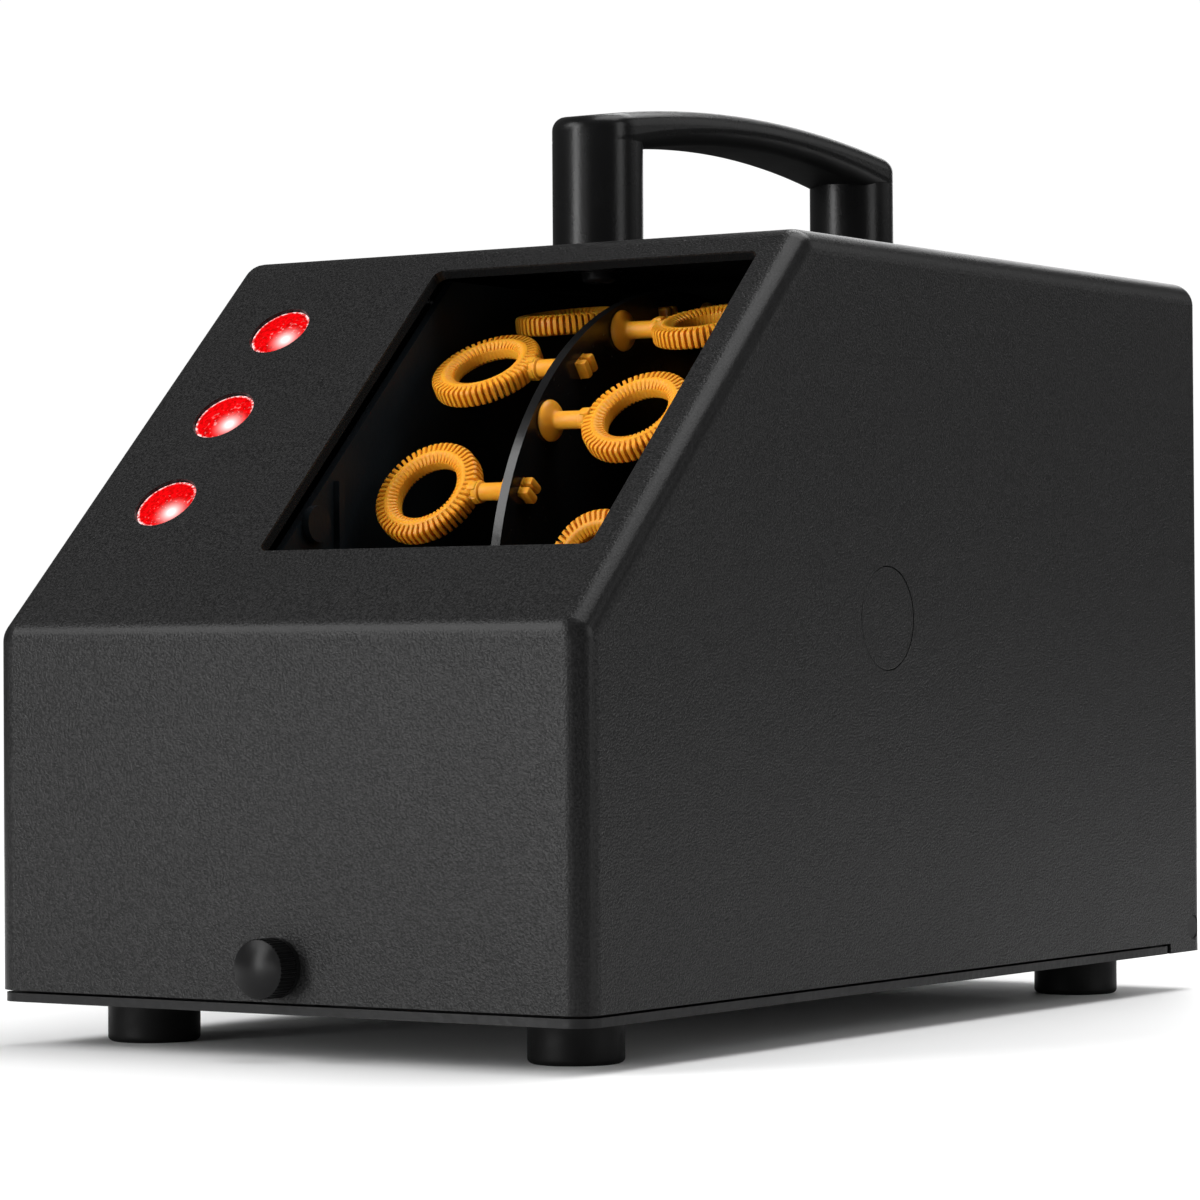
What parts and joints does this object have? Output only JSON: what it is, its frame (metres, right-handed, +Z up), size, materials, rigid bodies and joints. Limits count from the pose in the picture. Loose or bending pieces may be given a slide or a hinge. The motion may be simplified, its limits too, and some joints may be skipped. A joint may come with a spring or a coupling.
{
  "type": "bubble machine",
  "caption": "Hooded table-top bubble machine: sloping windowed hood on a rear hinge, bubble-wand wheel over a fluid tank, blower, indicator lamps and carry handle.",
  "frame": {"origin": "centre of the object's footprint, on the surface the feet stand on", "axes": "+Z up, front of the machine towards -Y, +X to the right seen from the front"},
  "size_m": [0.162, 0.2992, 0.2227],
  "materials": {
    "black_abs": "fine-grained satin black moulding",
    "black_moulding": "plain satin black moulding",
    "black_steel": "black powder coat",
    "handle_black": "smooth semi-gloss black",
    "knob_black": "semi-gloss black, knurled rim",
    "disc_gloss": "glossy black sheet",
    "foot_rubber": "soft black rubber",
    "wand_orange": "orange soft-gloss polypropylene",
    "lens_red": "red lit lens",
    "led_emitter": "lit red emitter",
    "zinc_steel": "zinc plated",
    "motor_steel": "plated can",
    "brass": "plain",
    "circuit_board": "green solder mask",
    "rocker_black": "smooth black",
    "button_grey": "smooth grey",
    "lead_brown": "brown wire sleeve",
    "lead_red": "red wire sleeve"
  },
  "bodies": {
    "base": {"base_tray": "black_steel", "foot_1": "foot_rubber", "foot_2": "foot_rubber", "foot_3": "foot_rubber", "foot_4": "foot_rubber", "foot_screws": "zinc_steel", "latch_bracket": "black_steel", "fluid_tank": "black_moulding", "chamber_wall": "black_moulding", "fan_wall": "black_moulding", "fan_frame": "black_moulding", "fan_guard": "zinc_steel", "fan_screws": "zinc_steel", "gearbox": "motor_steel", "wheel_motor": "motor_steel", "axle_bush": "brass", "rear_panel": "black_moulding", "power_inlet": "black_moulding", "inlet_pins": "brass", "switch_bezel": "black_moulding", "button_bezel": "black_moulding", "power_board": "circuit_board", "control_board": "circuit_board", "board_standoffs": "zinc_steel", "panel_screws": "zinc_steel", "inlet_leads": "lead_brown", "motor_leads": "lead_red", "hinge_pins": "black_steel"},
    "hood": {"hood_shell": "black_abs", "axle_plug": "black_abs", "carry_handle": "handle_black", "handle_screws": "black_steel", "led_lens_1": "lens_red", "led_lens_2": "lens_red", "led_lens_3": "lens_red", "led_holder": "black_moulding", "led_board": "circuit_board", "led_emitters": "led_emitter"},
    "wheel": {"wheel_disc": "disc_gloss", "wheel_hub": "black_moulding", "axle_shaft": "zinc_steel", "hub_nut": "black_moulding", "wand_pair_01": "wand_orange", "wand_pair_02": "wand_orange", "wand_pair_03": "wand_orange", "wand_pair_04": "wand_orange", "wand_pair_05": "wand_orange", "wand_pair_06": "wand_orange", "wand_pair_07": "wand_orange", "wand_pair_08": "wand_orange", "wand_pair_09": "wand_orange", "wand_pair_10": "wand_orange", "wand_pair_11": "wand_orange", "wand_pair_12": "wand_orange"},
    "fan": {"fan_impeller": "black_moulding"},
    "thumb_screw": {"thumb_screw": "knob_black", "screw_clip": "zinc_steel"},
    "clamp_bar": {"clamp_bar": "zinc_steel"},
    "rocker": {"rocker": "rocker_black"},
    "mode_button": {"mode_button": "button_grey"}
  },
  "joints": [
    {"name": "hood_hinge", "type": "hinge", "parent": "base", "child": "hood", "pos_m": [0, 0.14265, 0.0164], "axis": [-1, 0, 0], "range_deg": [0, 90]},
    {"name": "wheel_spin", "type": "hinge", "parent": "base", "child": "wheel", "pos_m": [0.0239, -0.01495, 0.096], "axis": [1, 0, 0], "continuous": true},
    {"name": "fan_spin", "type": "hinge", "parent": "base", "child": "fan", "pos_m": [0.0244, 0.08365, 0.1101], "axis": [0, 1, 0], "continuous": true},
    {"name": "thumb_screw_turn", "type": "hinge", "parent": "hood", "child": "thumb_screw", "pos_m": [0, -0.14135, 0.0203], "axis": [0, -1, 0], "range_deg": [0, 720]},
    {"name": "clamp_bar_slide", "type": "slide", "parent": "hood", "child": "clamp_bar", "axis": [0, 1, 0], "range_m": [0, 0.0014]},
    {"name": "rocker_tilt", "type": "hinge", "parent": "base", "child": "rocker", "pos_m": [-0.056, 0.14445, 0.0701], "axis": [-1, 0, 0], "range_deg": [0, 22]},
    {"name": "mode_button_press", "type": "slide", "parent": "base", "child": "mode_button", "axis": [0, -1, 0], "range_m": [0, 0.0015], "stiffness_N_per_m": 400}
  ],
  "couplings": [
    {"joint": "thumb_screw_turn", "follows": "clamp_bar_slide", "rad_per_m": 8976}
  ]
}
